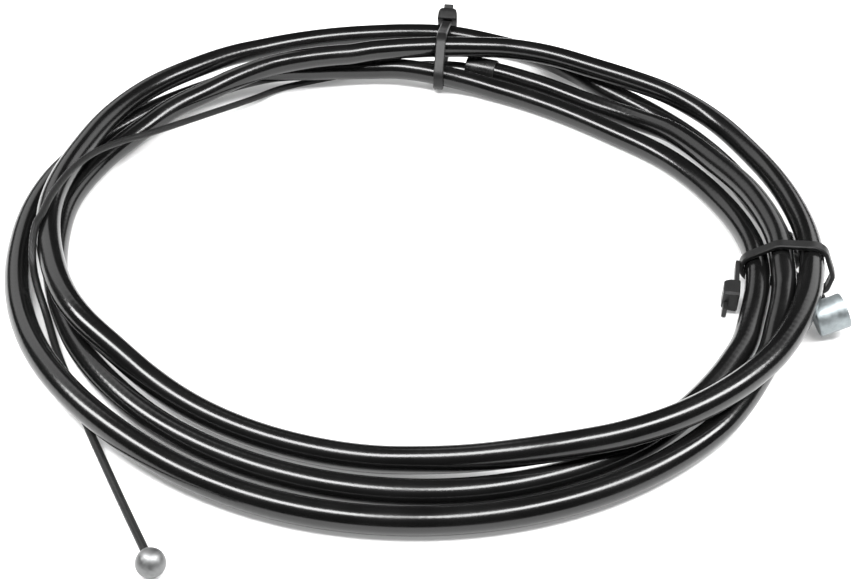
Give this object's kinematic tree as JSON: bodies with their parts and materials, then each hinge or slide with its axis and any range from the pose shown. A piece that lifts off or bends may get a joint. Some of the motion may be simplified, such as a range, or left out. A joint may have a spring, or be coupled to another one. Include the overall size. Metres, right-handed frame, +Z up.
{
  "type": "bicycle brake cable",
  "caption": "Black bicycle brake cable lying in a coil: covered housing with ferrules, a wire with a ball end and a barrel end, held by nylon cable ties.",
  "frame": {"origin": "middle of the coiled cable's footprint, on the surface that it lies on", "axes": "+Z up from the surface; +Y away from the ball end, along the coil's longest extent; +X towards the barrel end"},
  "size_m": [0.1704, 0.1832, 0.013],
  "materials": {
    "jacket": "glossy extruded black plastic",
    "winding": "bright spiral-wound flat wire",
    "liner": "slippery white liner",
    "wire": "stranded steel wire with a black slick coating",
    "nylon": "moulded black nylon",
    "ferrule": "smooth black plastic cup",
    "cast_end": "grey as-cast zinc"
  },
  "bodies": {
    "root": {"housing_jacket": "jacket", "housing_winding": "winding", "housing_liner": "liner", "brake_wire": "wire", "ferrule_open": "ferrule", "ferrule_covered": "ferrule", "ball_end": "cast_end", "barrel_end": "cast_end", "cable_tie_back": "nylon", "cable_tie_side": "nylon"}
  },
  "joints": []
}
